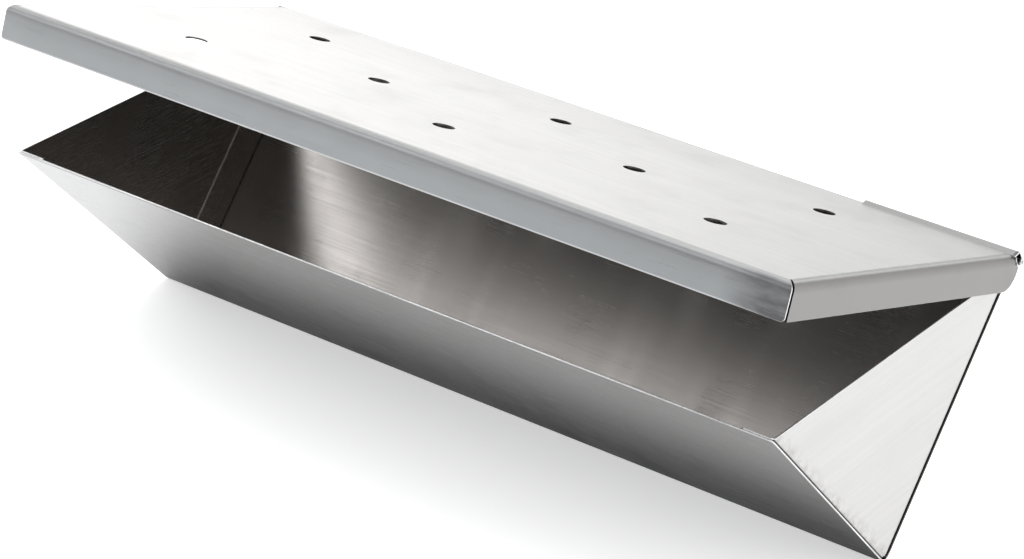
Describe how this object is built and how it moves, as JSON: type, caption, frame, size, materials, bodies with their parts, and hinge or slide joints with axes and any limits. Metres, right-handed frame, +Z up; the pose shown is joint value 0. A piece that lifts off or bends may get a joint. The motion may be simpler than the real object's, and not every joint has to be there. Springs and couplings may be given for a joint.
{
  "type": "v-shaped smoker box",
  "caption": "V-shaped stainless smoker box: folded sheet trough with flanged triangular end panels and a vented, flanged lid on a rear wire hinge, stored part open.",
  "frame": {"origin": "middle of the ridge at its lowest line, on the outside of the fold", "axes": "+X along the box, +Y towards the hinge at the rear, +Z up; the ridge points down and the rim is level"},
  "size_m": [0.332, 0.1581, 0.141],
  "materials": {
    "trough_steel": "brushed along the length, clear satin",
    "panel_steel": "brushed along the rim, clear satin",
    "lid_steel": "brushed along the length, clear satin",
    "pin_steel": "drawn wire, satin"
  },
  "bodies": {
    "trough_body": {"trough": "trough_steel", "end_panel_left": "panel_steel", "end_panel_right": "panel_steel", "hinge_pin": "pin_steel"},
    "lid_body": {"lid": "lid_steel"}
  },
  "joints": [
    {"name": "lid_hinge", "type": "hinge", "parent": "trough_body", "child": "lid_body", "pos_m": [0, 0.07166, 0.08794], "axis": [-1, 0, 0], "range_deg": [-20.3, 161]}
  ]
}
